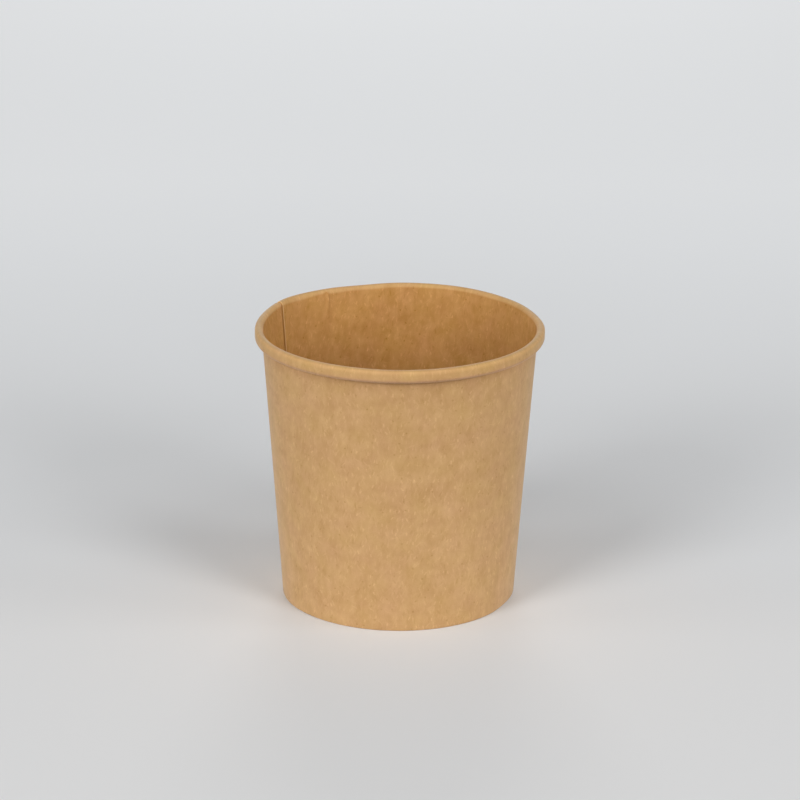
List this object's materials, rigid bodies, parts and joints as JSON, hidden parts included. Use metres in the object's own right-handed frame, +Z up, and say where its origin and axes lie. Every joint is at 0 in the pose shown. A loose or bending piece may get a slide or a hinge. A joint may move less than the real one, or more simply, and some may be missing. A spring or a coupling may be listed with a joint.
{
  "type": "disposable soup cup",
  "caption": "Tapered kraft paperboard soup cup with a rolled rim, a lapped side seam, a folded foot and a recessed base, without a lid.",
  "frame": {"origin": "middle of the plane that the cup stands on", "axes": "+Z up along the cup's axis, out of its mouth; the seam's inner edge is at 149.3 degrees from +X, counter-clockwise from above"},
  "size_m": [0.09, 0.09, 0.088],
  "materials": {
    "kraft_wall": "uncoated brown kraft outside, thin film inside",
    "kraft_base": "brown kraft with a thin film inside"
  },
  "bodies": {
    "root": {"sidewall": "kraft_wall", "bottom_disc": "kraft_base"}
  },
  "joints": []
}
